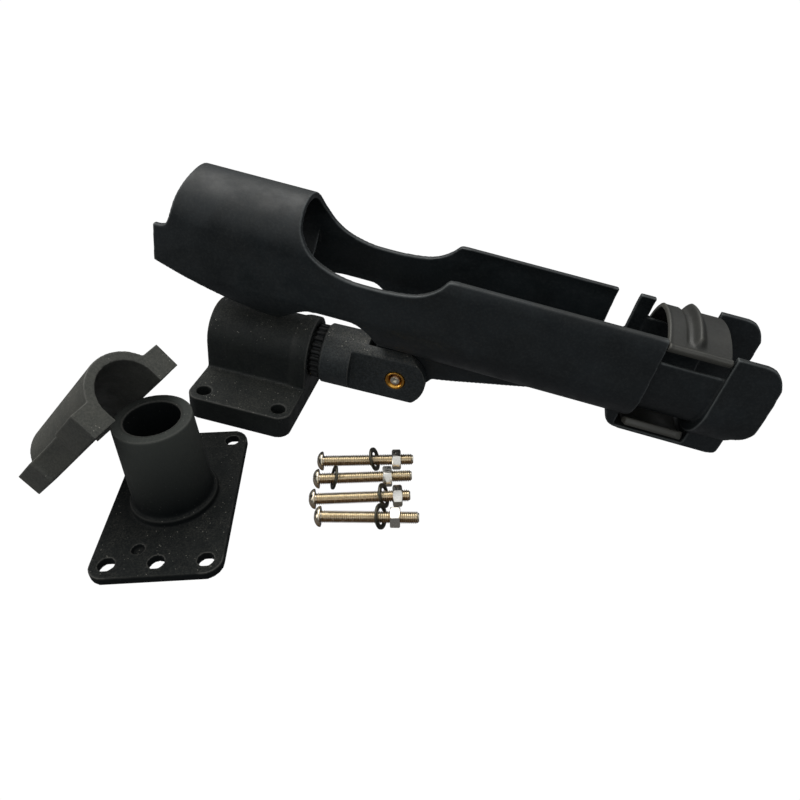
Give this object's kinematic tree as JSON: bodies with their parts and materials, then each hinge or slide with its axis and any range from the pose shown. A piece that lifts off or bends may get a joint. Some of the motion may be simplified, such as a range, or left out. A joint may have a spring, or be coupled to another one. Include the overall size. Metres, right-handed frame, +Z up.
{
  "type": "adjustable fishing rod holder kit",
  "caption": "Scalloped rod cradle with a turning locking ring on a swivel arm and splined socket block, with a deck-tube plate, rail clamp half and bolt sets.",
  "frame": {"origin": "centre of the mount block's underside; the kit rests on a level surface at z = -4.55 mm, and the block leans on it by 8.24 degrees", "axes": "+X runs from the mount block along the arm to the cradle's open front, +Z is up, +Y is away from the side the loose parts lie on"},
  "size_m": [0.387, 0.2189, 0.1425],
  "materials": {
    "nylon": "matte glass-filled nylon, faintly mottled with light specks",
    "cradle_shell": "satin moulded shell, cool charcoal with lighter worn rims",
    "ring_grey": "smooth satin warm dark grey",
    "brass": "machined brass cup",
    "steel": "bright rolled stainless",
    "washer_steel": "dull tumbled stainless"
  },
  "bodies": {
    "mount": {"mount_block": "nylon"},
    "arm": {"swivel_arm": "nylon", "brass_insert": "brass", "pivot_bolt": "steel"},
    "cradle": {"rod_cradle": "cradle_shell"},
    "ring": {"locking_ring": "ring_grey"},
    "plate": {"deck_plate": "nylon"},
    "clamp": {"rail_clamp": "nylon"},
    "bolt_1": {"bolt_1": "steel"},
    "nut_1": {"nut_1": "steel"},
    "washer_1": {"washer_1": "washer_steel"},
    "bolt_2": {"bolt_2": "steel"},
    "nut_2": {"nut_2": "steel"},
    "washer_2": {"washer_2": "washer_steel"},
    "bolt_3": {"bolt_3": "steel"},
    "nut_3": {"nut_3": "steel"},
    "washer_3": {"washer_3": "washer_steel"},
    "bolt_4": {"bolt_4": "steel"},
    "nut_4": {"nut_4": "steel"},
    "washer_4": {"washer_4": "washer_steel"}
  },
  "joints": [
    {"name": "arm_spin", "type": "hinge", "parent": "mount", "child": "arm", "pos_m": [0.03612, 0, 0.02791], "axis": [0.9897, 0, -0.1433], "range_deg": [-75, 30]},
    {"name": "cradle_tilt", "type": "hinge", "parent": "arm", "child": "cradle", "pos_m": [0.08922, 0, 0.02022], "axis": [0, 1, 0], "range_deg": [-5, 110]},
    {"name": "ring_turn", "type": "hinge", "parent": "cradle", "child": "ring", "pos_m": [0.24438, 0, 0.03857], "axis": [0.9821, 0, -0.1882], "range_deg": [-88, 0]},
    {"name": "plate_lift", "type": "slide", "parent": "mount", "child": "plate", "axis": [0.8, 0, 0.6], "range_m": [0, 0.08]},
    {"name": "clamp_lift", "type": "slide", "parent": "mount", "child": "clamp", "axis": [0, 0, 1], "range_m": [0, 0.06]},
    {"name": "bolt_1_lift", "type": "slide", "parent": "mount", "child": "bolt_1", "axis": [0, 0, 1], "range_m": [0, 0.03]},
    {"name": "nut_1_run", "type": "slide", "parent": "bolt_1", "child": "nut_1", "axis": [0.9723, 0.2337, 0], "range_m": [-0.004, 0.006]},
    {"name": "washer_1_slide", "type": "slide", "parent": "bolt_1", "child": "washer_1", "axis": [0.9723, 0.2337, 0], "range_m": [-0.012, 0.002]},
    {"name": "bolt_2_lift", "type": "slide", "parent": "mount", "child": "bolt_2", "axis": [0, 0, 1], "range_m": [0, 0.03]},
    {"name": "nut_2_run", "type": "slide", "parent": "bolt_2", "child": "nut_2", "axis": [0.9676, 0.2526, 0], "range_m": [-0.012, 0.009]},
    {"name": "washer_2_slide", "type": "slide", "parent": "bolt_2", "child": "washer_2", "axis": [0.9676, 0.2526, 0], "range_m": [0, 0.014]},
    {"name": "bolt_3_lift", "type": "slide", "parent": "mount", "child": "bolt_3", "axis": [0, 0, 1], "range_m": [0, 0.03]},
    {"name": "nut_3_run", "type": "slide", "parent": "bolt_3", "child": "nut_3", "axis": [0.9665, 0.2567, 0], "range_m": [0, 0.004]},
    {"name": "washer_3_slide", "type": "slide", "parent": "bolt_3", "child": "washer_3", "axis": [0.9665, 0.2567, 0], "range_m": [-0.012, 0]},
    {"name": "bolt_4_lift", "type": "slide", "parent": "mount", "child": "bolt_4", "axis": [0, 0, 1], "range_m": [0, 0.03]},
    {"name": "nut_4_run", "type": "slide", "parent": "bolt_4", "child": "nut_4", "axis": [0.9815, 0.1914, 0], "range_m": [0, 0.009]},
    {"name": "washer_4_slide", "type": "slide", "parent": "bolt_4", "child": "washer_4", "axis": [0.9815, 0.1914, 0], "range_m": [-0.012, 0]}
  ]
}
